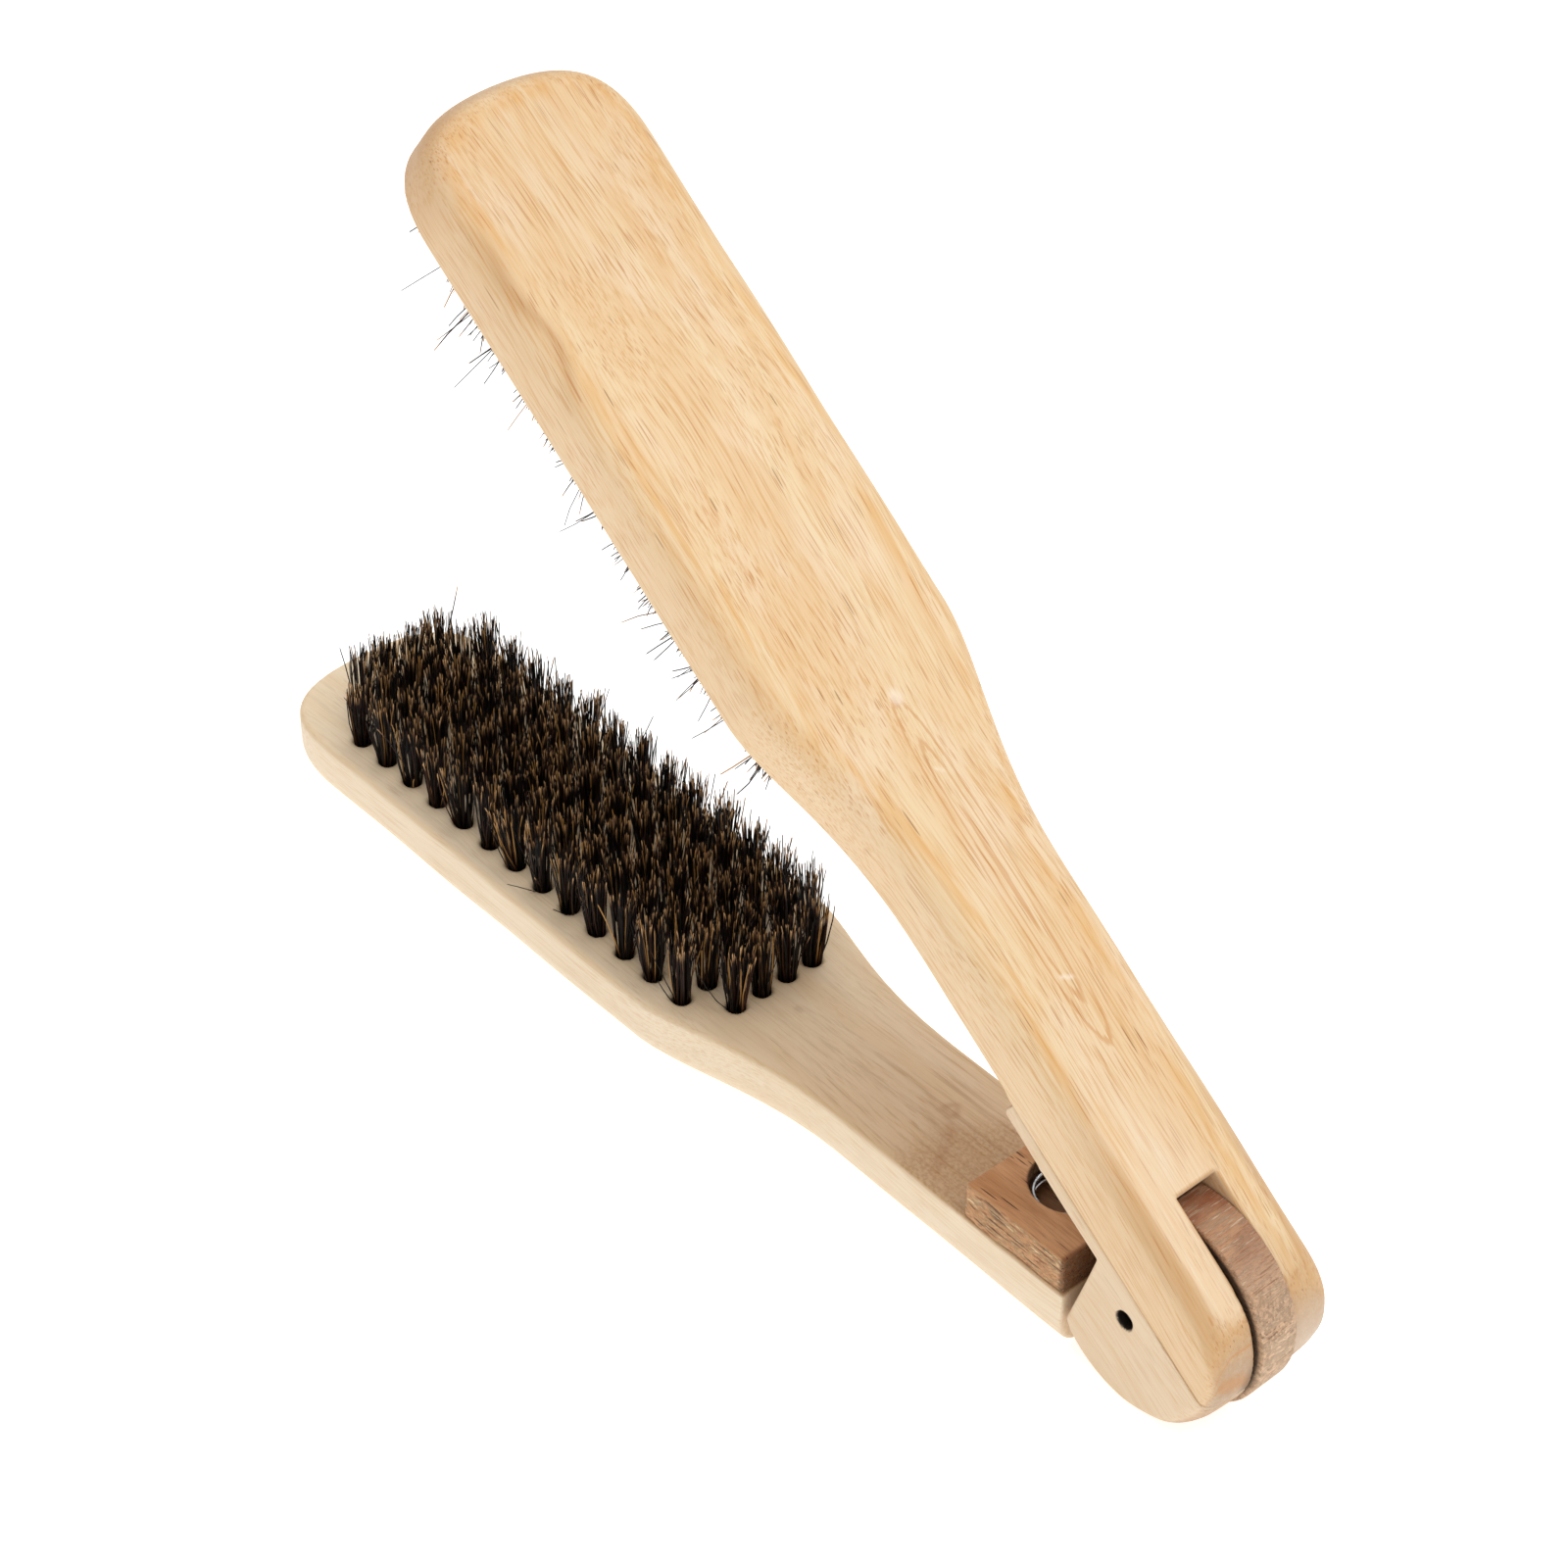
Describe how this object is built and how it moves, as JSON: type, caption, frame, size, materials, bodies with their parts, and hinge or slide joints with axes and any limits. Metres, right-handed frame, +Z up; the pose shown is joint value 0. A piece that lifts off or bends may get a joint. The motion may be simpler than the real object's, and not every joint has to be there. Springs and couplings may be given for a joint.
{
  "type": "hinged double hair brush",
  "caption": "Two wooden paddles with rows of bristle tufts facing each other, pinned together at one end and held open by a compression spring.",
  "frame": {"origin": "middle of the bottom of the open brush's box, on the surface that the lower paddle's back lies on", "axes": "+X along the paddles from the heads to the hinge, +Y along the hinge pin, +Z up, out of the lower paddle's bristle face"},
  "size_m": [0.2278, 0.0404, 0.1525],
  "materials": {
    "pale_wood": "smooth sanded, thin clear wax",
    "brown_wood": "bare, sawn and lightly sanded",
    "boar_bristle": "satin natural bristle, tan at the tips",
    "pin_steel": "dull drawn steel",
    "spring_steel": "bright plated wire"
  },
  "bodies": {
    "lower": {"lower_paddle": "pale_wood", "lower_hinge_block": "brown_wood", "compression_spring": "spring_steel", "lower_bristle_row_01": "boar_bristle", "lower_bristle_row_02": "boar_bristle", "lower_bristle_row_03": "boar_bristle", "lower_bristle_row_04": "boar_bristle", "lower_bristle_row_05": "boar_bristle", "lower_bristle_row_06": "boar_bristle", "lower_bristle_row_07": "boar_bristle", "lower_bristle_row_08": "boar_bristle", "lower_bristle_row_09": "boar_bristle", "lower_bristle_row_10": "boar_bristle", "lower_bristle_row_11": "boar_bristle", "lower_bristle_row_12": "boar_bristle", "lower_bristle_row_13": "boar_bristle", "lower_bristle_row_14": "boar_bristle", "lower_bristle_row_15": "boar_bristle"},
    "upper": {"upper_paddle": "pale_wood", "upper_hinge_block": "pale_wood", "hinge_pin": "pin_steel", "upper_bristle_row_01": "boar_bristle", "upper_bristle_row_02": "boar_bristle", "upper_bristle_row_03": "boar_bristle", "upper_bristle_row_04": "boar_bristle", "upper_bristle_row_05": "boar_bristle", "upper_bristle_row_06": "boar_bristle", "upper_bristle_row_07": "boar_bristle", "upper_bristle_row_08": "boar_bristle", "upper_bristle_row_09": "boar_bristle", "upper_bristle_row_10": "boar_bristle", "upper_bristle_row_11": "boar_bristle", "upper_bristle_row_12": "boar_bristle", "upper_bristle_row_13": "boar_bristle", "upper_bristle_row_14": "boar_bristle", "upper_bristle_row_15": "boar_bristle"}
  },
  "joints": [
    {"name": "brush_hinge", "type": "hinge", "parent": "lower", "child": "upper", "pos_m": [0.09445, 0, 0.0172], "axis": [0, 1, 0], "range_deg": [-36.25, 0], "stiffness_Nm_per_rad": 0.4, "springref_deg": 17.19, "deforming": ["compression_spring", "lower_bristle_row_01", "lower_bristle_row_02", "lower_bristle_row_03", "lower_bristle_row_04", "lower_bristle_row_05", "lower_bristle_row_06", "lower_bristle_row_07", "lower_bristle_row_08", "lower_bristle_row_09", "lower_bristle_row_10", "lower_bristle_row_11", "lower_bristle_row_12", "lower_bristle_row_13", "lower_bristle_row_14", "lower_bristle_row_15", "upper_bristle_row_01", "upper_bristle_row_02", "upper_bristle_row_03", "upper_bristle_row_04", "upper_bristle_row_05", "upper_bristle_row_06", "upper_bristle_row_07", "upper_bristle_row_08", "upper_bristle_row_09", "upper_bristle_row_10", "upper_bristle_row_11", "upper_bristle_row_12", "upper_bristle_row_13", "upper_bristle_row_14", "upper_bristle_row_15"]}
  ]
}
